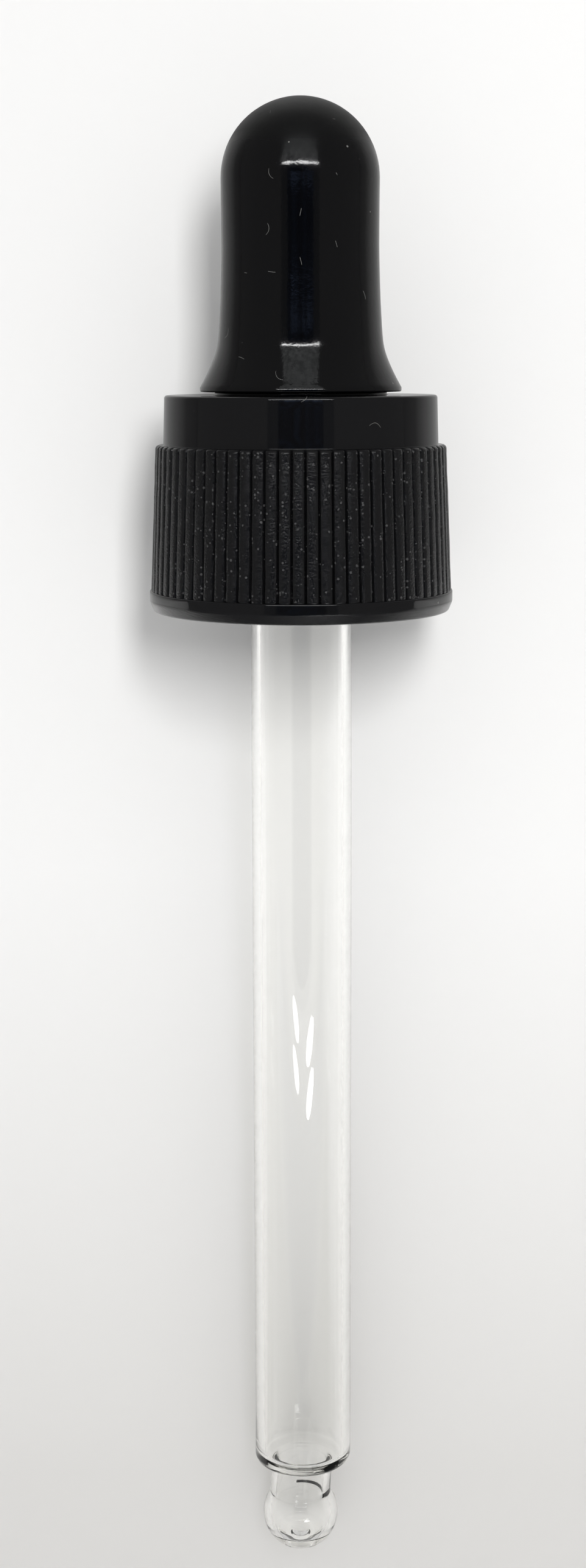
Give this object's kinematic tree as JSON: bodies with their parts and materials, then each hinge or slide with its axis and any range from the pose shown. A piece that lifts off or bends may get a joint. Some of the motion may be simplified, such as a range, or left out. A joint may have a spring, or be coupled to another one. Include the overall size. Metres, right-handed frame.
{
  "type": "medicine dropper",
  "caption": "Dropper closure: a ribbed black screw cap, a black rubber bulb and a straight glass pipette with a ball tip.",
  "frame": {"origin": "on the axis in the sealing plane, the underside of the bulb's flange that presses on the bottle's lip", "axes": "+Z along the axis, from the pipette's tip towards the bulb"},
  "size_m": [0.0228, 0.0228, 0.1138],
  "materials": {
    "closure": "black polypropylene, smooth bands and fine grained ribs",
    "bulb": "black moulded rubber, smooth satin with light dust",
    "pipette": "clear drawn glass, fire polished"
  },
  "bodies": {
    "cap": {"closure": "closure"},
    "tube": {"pipette": "pipette"},
    "teat": {"bulb": "bulb"}
  },
  "joints": [
    {"name": "cap_turn", "type": "hinge", "parent": "cap", "child": "tube", "pos_m": [0, 0, 0], "axis": [0, 0, 1], "continuous": true},
    {"name": "bulb_squeeze", "type": "slide", "parent": "tube", "child": "teat", "axis": [0, 0, -1], "range_m": [0, 0.005], "stiffness_N_per_m": 400, "deforming": ["bulb"]}
  ]
}
